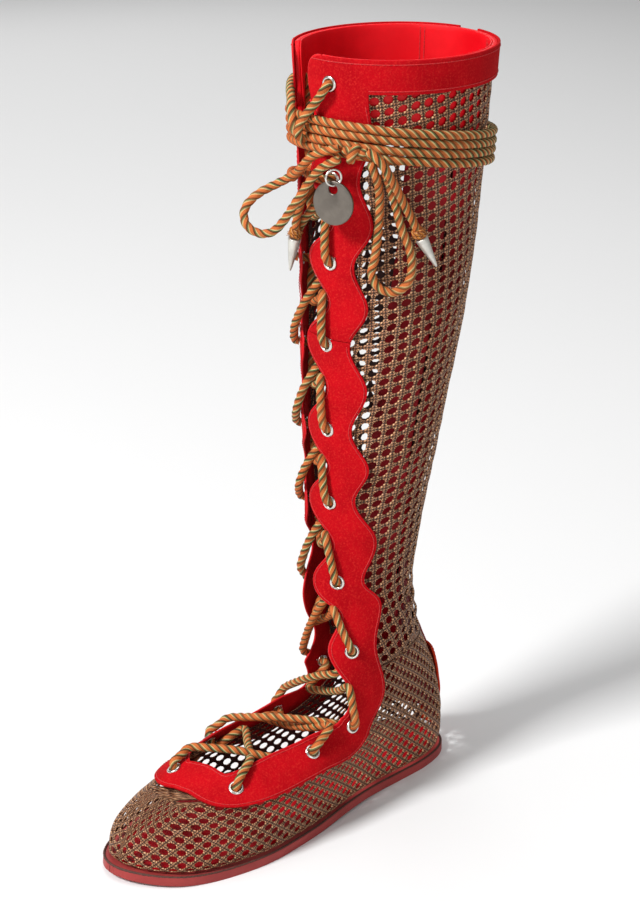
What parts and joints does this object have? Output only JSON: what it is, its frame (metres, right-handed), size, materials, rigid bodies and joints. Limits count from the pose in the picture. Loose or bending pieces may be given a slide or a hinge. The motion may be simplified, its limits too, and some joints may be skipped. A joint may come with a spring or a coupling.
{
  "type": "knee-high boot",
  "caption": "Flat knee-high lace-up boot, left foot: openwork cord shaft and toe, scalloped suede facing and collar, eyelets, wound rope lace with bow, hanging tag.",
  "frame": {"origin": "on the floor under the middle of the heel", "axes": "toe to -Y, outer side of the foot to +X, up the shaft +Z"},
  "size_m": [0.1121, 0.2713, 0.4359],
  "materials": {
    "sole_leather": "muted red leather sole with a rounded edge",
    "lining_leather": "bright red smooth lining leather",
    "net_cord": "openwork of knotted metallic bronze cord",
    "suede": "red suede",
    "zip_tape": "dark red zip tape and teeth",
    "nickel": "satin nickel",
    "tag_steel": "dark brushed steel, bare",
    "tip_metal": "matt pale silver",
    "lace_cord": "twisted rope in orange with cream and green yarns"
  },
  "bodies": {
    "boot": {"back_stay": "suede", "back_tab": "suede", "collar_inner": "suede", "collar_outer": "suede", "eyelet_inner_01": "nickel", "eyelet_inner_02": "nickel", "eyelet_inner_03": "nickel", "eyelet_inner_04": "nickel", "eyelet_inner_05": "nickel", "eyelet_inner_06": "nickel", "eyelet_inner_07": "nickel", "eyelet_inner_08": "nickel", "eyelet_inner_09": "nickel", "eyelet_inner_10": "nickel", "eyelet_inner_11": "nickel", "eyelet_outer_01": "nickel", "eyelet_outer_02": "nickel", "eyelet_outer_03": "nickel", "eyelet_outer_04": "nickel", "eyelet_outer_05": "nickel", "eyelet_outer_06": "nickel", "eyelet_outer_07": "nickel", "eyelet_outer_08": "nickel", "eyelet_outer_09": "nickel", "eyelet_outer_10": "nickel", "eyelet_outer_11": "nickel", "facing": "suede", "insole": "lining_leather", "lace_knot": "lace_cord", "lace_loop_inner": "lace_cord", "lace_loop_outer": "lace_cord", "lace_strap_inner": "lace_cord", "lace_strap_outer": "lace_cord", "lace_tail_inner": "lace_cord", "lace_tail_outer": "lace_cord", "lace_wrap_1": "lace_cord", "lace_wrap_2": "lace_cord", "lace_wrap_3": "lace_cord", "lace_wrap_4": "lace_cord", "lacing_01": "lace_cord", "lacing_02": "lace_cord", "lacing_03": "lace_cord", "lacing_04": "lace_cord", "lacing_05": "lace_cord", "lacing_06": "lace_cord", "lacing_07": "lace_cord", "lacing_08": "lace_cord", "lacing_09": "lace_cord", "lacing_10": "lace_cord", "outsole": "sole_leather", "tip_inner": "tip_metal", "tip_outer": "tip_metal", "upper": "net_cord", "zip": "zip_tape"},
    "tag": {"tag": "tag_steel", "tag_ring": "nickel"}
  },
  "joints": [
    {"name": "tag_swing", "type": "hinge", "parent": "boot", "child": "tag", "pos_m": [0.0152, -0.0679, 0.37905], "axis": [-0.9537, -0.3007, 0], "range_deg": [0, 45]}
  ]
}
